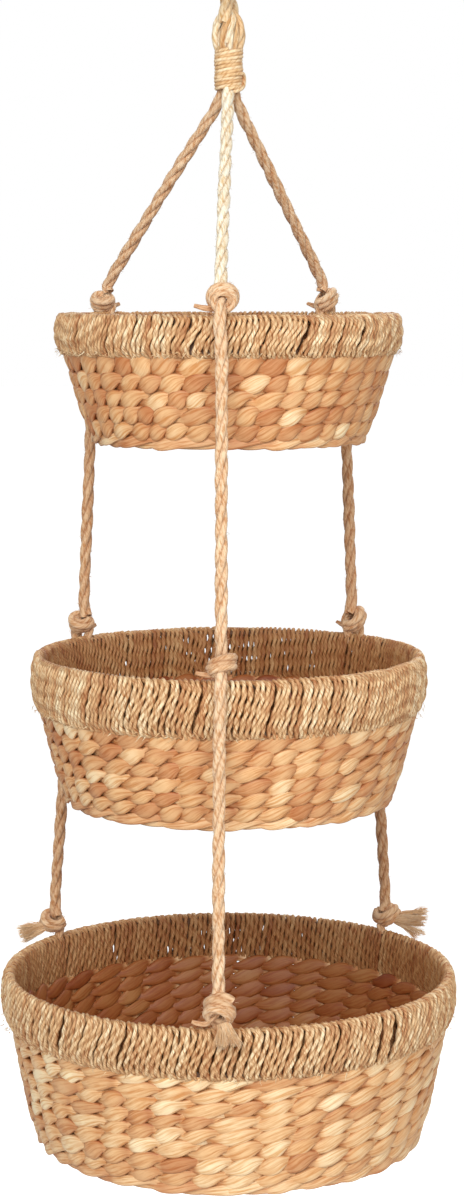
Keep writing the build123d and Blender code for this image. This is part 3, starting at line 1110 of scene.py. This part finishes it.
def make_loop():
    """The hanging loop: one rope bent round, its legs twisted a little. The inside of
    its top is the origin."""
    strands = Strands()
    eye_inside = 12 * MM
    spacing, eye = 5.1 * MM, eye_inside + rope_diameter / 2
    low = crown_high[2] - 4 * MM
    turns = np.radians(np.linspace(205, -25, 9))
    points = [around(140, -spacing, low), around(152, -spacing, low + 9 * MM)]
    points += [around(175, eye * math.cos(t), eye * math.sin(t) - eye_inside) for t in turns]
    points += [around(152, spacing, low + 9 * MM), around(140, spacing, low)]
    route = smooth_route(points)
    laid_rope(strands, route, diameter=9.9 * MM, tint=0.42)
    piece = strands.build("hanging_eye_rope", pale_jute, "loop")
    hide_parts("hanging_loop")


make_gather()
make_whipping()
make_crown()
make_loop()


# -------- camera, light and floor

# The camera that the photo's rims fit: where it stands, and how far down it looks.
camera_place, camera_down = (0.0025, -1.930, -0.2342), 6.92
camera_lens, camera_sensor = 76.95, 36
# The white room's light on the object; the camera and reflections see all of it. The
# floor's colour, and what makes it white to the camera.
room_light, floor_tone, floor_glow = 0.35, (0.86, 0.86, 0.86, 1), 0.75


def make_camera():
    camera = bpy.data.cameras.new("camera")
    camera.lens = camera_lens
    camera.sensor_width = camera_sensor
    holder = bpy.data.objects.new("camera", camera)
    holder.location = camera_place
    holder.rotation_euler = (math.radians(90 - camera_down), 0, 0)
    bpy.context.scene.collection.objects.link(holder)
    bpy.context.scene.camera = holder


def make_lamp(name, place, aim, size, power):
    """A soft square lamp that faces a place."""
    lamp = bpy.data.lights.new(name, "AREA")
    lamp.size = size
    lamp.energy = power
    holder = bpy.data.objects.new(name, lamp)
    holder.location = place
    toward = np.array(aim) - np.array(place)
    tip = math.acos(-toward[2] / np.linalg.norm(toward))
    holder.rotation_euler = (tip, 0, math.atan2(toward[1], toward[0]) - math.pi / 2)
    bpy.context.scene.collection.objects.link(holder)


def make_world():
    """A white room: plain white to the camera, softer on the object."""
    world = bpy.data.worlds.new("studio")
    world.use_nodes = True
    tree = world.node_tree
    background = tree.nodes["Background"]
    background.inputs["Color"].default_value = WHITE
    rays = tree.nodes.new("ShaderNodeLightPath")
    seen = math_node(tree, "MAXIMUM", rays.outputs["Is Camera Ray"], rays.outputs["Is Glossy Ray"])
    seen = math_node(tree, "MAXIMUM", seen, rays.outputs["Is Transmission Ray"])
    more = math_node(tree, "MULTIPLY", seen, 1 - room_light)
    strength = math_node(tree, "ADD", more, room_light)
    tree.links.new(strength, background.inputs["Strength"])
    bpy.context.scene.world = world


def make_floor():
    """A wide pale floor well below the lowest basket."""
    mesh = bpy.data.meshes.new("floor")
    span, level = 30.0, -1.45
    corners = [(x * span, y * span, level) for x, y in ((-1, -1), (1, -1), (1, 1), (-1, 1))]
    mesh.from_pydata(corners, [], [(0, 1, 2, 3)])
    material, tree, shader = new_finish("pale_floor", roughness=0.9, specular=0.1)
    shader.inputs["Base Color"].default_value = floor_tone
    rays = tree.nodes.new("ShaderNodeLightPath")
    shader.inputs["Emission Color"].default_value = WHITE
    lift = math_node(tree, "MULTIPLY", rays.outputs["Is Camera Ray"], floor_glow)
    tree.links.new(lift, shader.inputs["Emission Strength"])
    mesh.materials.append(material)
    floor = bpy.data.objects.new("floor", mesh)
    bpy.context.scene.collection.objects.link(floor)


make_camera()
make_lamp("key_light", (-0.6, -2.2, 0.7), (0, 0, -0.45), 1.4, 43.5)
make_lamp("fill_light", (0.9, -2.1, 0.1), (0, 0, -0.5), 1.6, 22.5)
make_lamp("back_light", (0.6, 1.6, 0.8), (0, 0, -0.4), 1.4, 22)
make_world()
make_floor()
bpy.context.scene.view_settings.view_transform = "Standard"
